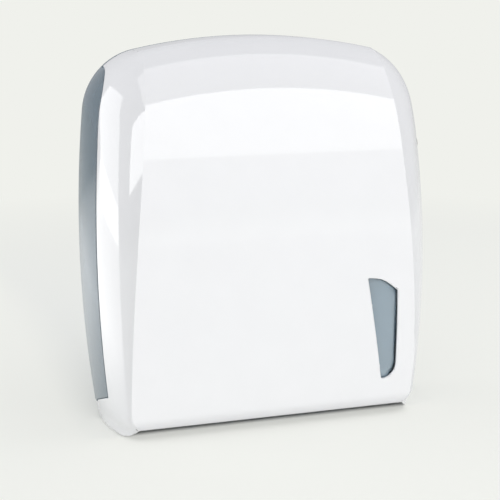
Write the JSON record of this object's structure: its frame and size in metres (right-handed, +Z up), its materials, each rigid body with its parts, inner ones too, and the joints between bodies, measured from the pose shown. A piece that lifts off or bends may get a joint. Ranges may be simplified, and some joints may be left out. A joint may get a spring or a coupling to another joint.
{
  "type": "folded paper towel dispenser",
  "caption": "Wall dispenser for folded paper towels: smoked base, glossy white drop-down cover with a level window, outlet slot underneath and a quarter-turn cam lock.",
  "frame": {"origin": "bottom centre of the whole box", "axes": "+X to the dispenser's right as seen from the front, -Y out of the front panel, +Y into the wall, +Z up"},
  "size_m": [0.325, 0.095, 0.355],
  "materials": {
    "smoke": "translucent smoke-grey styrene plastic, polished",
    "white": "high-gloss white ABS",
    "lens": "translucent smoke-grey styrene plastic, polished",
    "grey": "light grey moulded ABS, fine texture",
    "acetal": "natural acetal",
    "steel": "bright steel",
    "zinc": "zinc-plated steel",
    "lock_plastic": "dark grey glass-filled nylon"
  },
  "bodies": {
    "base": {"rear_base": "smoke", "towel_tray": "grey", "tray_screws": "zinc", "side_guide_left": "grey", "side_guide_right": "grey", "guide_screws": "zinc", "hinge_bush_left": "acetal", "hinge_bush_right": "acetal", "lock_body": "lock_plastic", "lock_nut": "zinc"},
    "cover": {"front_cover": "white", "level_window": "lens", "hinge_pin_left": "steel", "hinge_pin_right": "steel", "latch_hook": "steel", "hook_screws": "zinc"},
    "lock": {"lock_barrel": "zinc", "lock_cam": "steel", "cam_washer": "steel", "cam_screw": "zinc"}
  },
  "joints": [
    {"name": "cover_hinge", "type": "hinge", "parent": "base", "child": "cover", "pos_m": [0, 0.0315, 0.01], "axis": [1, 0, 0], "range_deg": [0, 95]},
    {"name": "lock_turn", "type": "hinge", "parent": "base", "child": "lock", "pos_m": [0.15, 0.0215, 0.25], "axis": [-1, 0, 0], "range_deg": [0, 90]}
  ]
}
